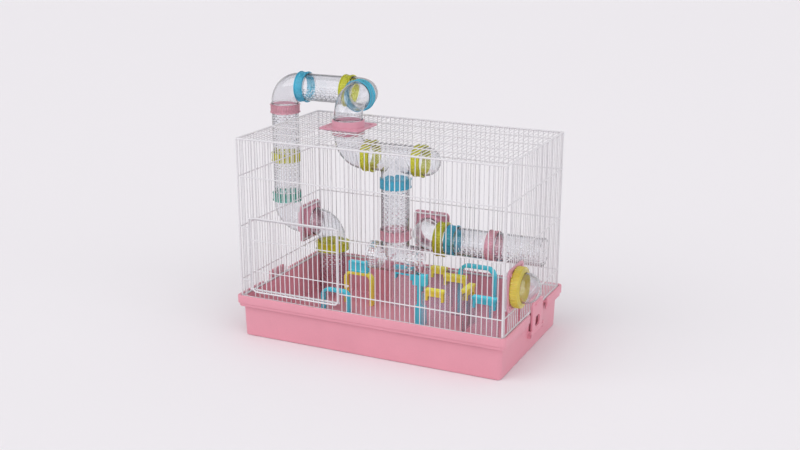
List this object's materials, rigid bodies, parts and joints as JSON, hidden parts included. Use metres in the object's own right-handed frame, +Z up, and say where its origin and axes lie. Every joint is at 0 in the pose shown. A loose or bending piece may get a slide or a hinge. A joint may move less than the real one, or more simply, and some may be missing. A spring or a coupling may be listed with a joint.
{
  "type": "gerbil cage",
  "caption": "Small-pet cage: a white wire hood with a hinged front door on a pink tray, with clear tubes joined by coloured rings and a small floor maze.",
  "frame": {"origin": "centre of the pan's underside", "axes": "+Z up, +X along the long side to the right as the door is faced, +Y to the back"},
  "size_m": [0.719, 0.3596, 0.511],
  "materials": {
    "pan_pink": "moulded, soft gloss",
    "plate_pink": "moulded, soft gloss",
    "wire_white": "coated steel wire",
    "clear_plastic": "clear, stippled",
    "ring_blue": "moulded gloss",
    "ring_teal": "moulded gloss",
    "ring_yellow": "moulded gloss",
    "ring_pink": "moulded gloss",
    "toy_blue": "moulded gloss",
    "toy_yellow": "moulded gloss"
  },
  "bodies": {
    "base": {"base_pan": "pan_pink", "cap_blue_left": "toy_blue", "cap_blue_right": "toy_blue", "cap_yellow_front": "toy_yellow", "cap_yellow_back": "toy_yellow", "cap_yellow_side": "toy_yellow", "cap_yellow_far": "toy_yellow", "maze_panels": "clear_plastic", "arch_blue_left": "toy_blue", "arch_yellow": "toy_yellow", "arch_blue_back": "toy_blue", "block_blue": "toy_blue", "post_blue": "toy_blue"},
    "hood": {"hood_frame": "wire_white", "front_grille": "wire_white", "back_grille": "wire_white", "left_grille": "wire_white", "right_grille": "wire_white", "roof_grille": "wire_white", "left_plate": "plate_pink", "roof_plate": "plate_pink", "back_plate": "plate_pink", "right_plate": "plate_pink", "right_nut": "ring_yellow", "left_outer_elbow": "clear_plastic", "left_lower_tube": "clear_plastic", "left_upper_tube": "clear_plastic", "top_left_elbow": "clear_plastic", "top_tube": "clear_plastic", "top_turn_elbow": "clear_plastic", "roof_outer_elbow": "clear_plastic", "roof_inner_elbow": "clear_plastic", "upper_tee": "clear_plastic", "tee_dome": "clear_plastic", "stem_tube": "clear_plastic", "lower_tee": "clear_plastic", "left_inner_elbow": "clear_plastic", "drop_tube": "clear_plastic", "back_elbow": "clear_plastic", "run_spacer": "clear_plastic", "run_short_tube": "clear_plastic", "run_long_tube": "clear_plastic", "right_dome": "clear_plastic", "ring_left_low": "ring_teal", "ring_left_mid": "ring_yellow", "ring_left_high": "ring_pink", "ring_top_left": "ring_blue", "ring_top_right": "ring_yellow", "ring_top_turn": "ring_blue", "ring_tee_left": "ring_yellow", "ring_tee_right": "ring_yellow", "ring_stem_top": "ring_blue", "ring_stem_low": "ring_pink", "ring_drop": "ring_yellow", "ring_run_left": "ring_yellow", "ring_run_mid": "ring_blue", "ring_run_right": "ring_pink"},
    "door": {"front_door": "wire_white"},
    "clip_left_body": {"clip_left": "pan_pink"},
    "clip_right_body": {"clip_right": "pan_pink"}
  },
  "joints": [
    {"name": "hood_lift", "type": "slide", "parent": "base", "child": "hood", "axis": [0, 0, 1], "range_m": [0, 0.2]},
    {"name": "door_hinge", "type": "hinge", "parent": "hood", "child": "door", "pos_m": [-0.262, -0.1675, 0.1775], "axis": [0, 0, -1], "range_deg": [0, 115]},
    {"name": "clip_left_pivot", "type": "hinge", "parent": "base", "child": "clip_left_body", "pos_m": [-0.2896, -0.022, 0.04], "axis": [0, -1, 0], "range_deg": [0, 40]},
    {"name": "clip_right_pivot", "type": "hinge", "parent": "base", "child": "clip_right_body", "pos_m": [0.2896, 0.022, 0.04], "axis": [0, 1, 0], "range_deg": [0, 40]}
  ]
}
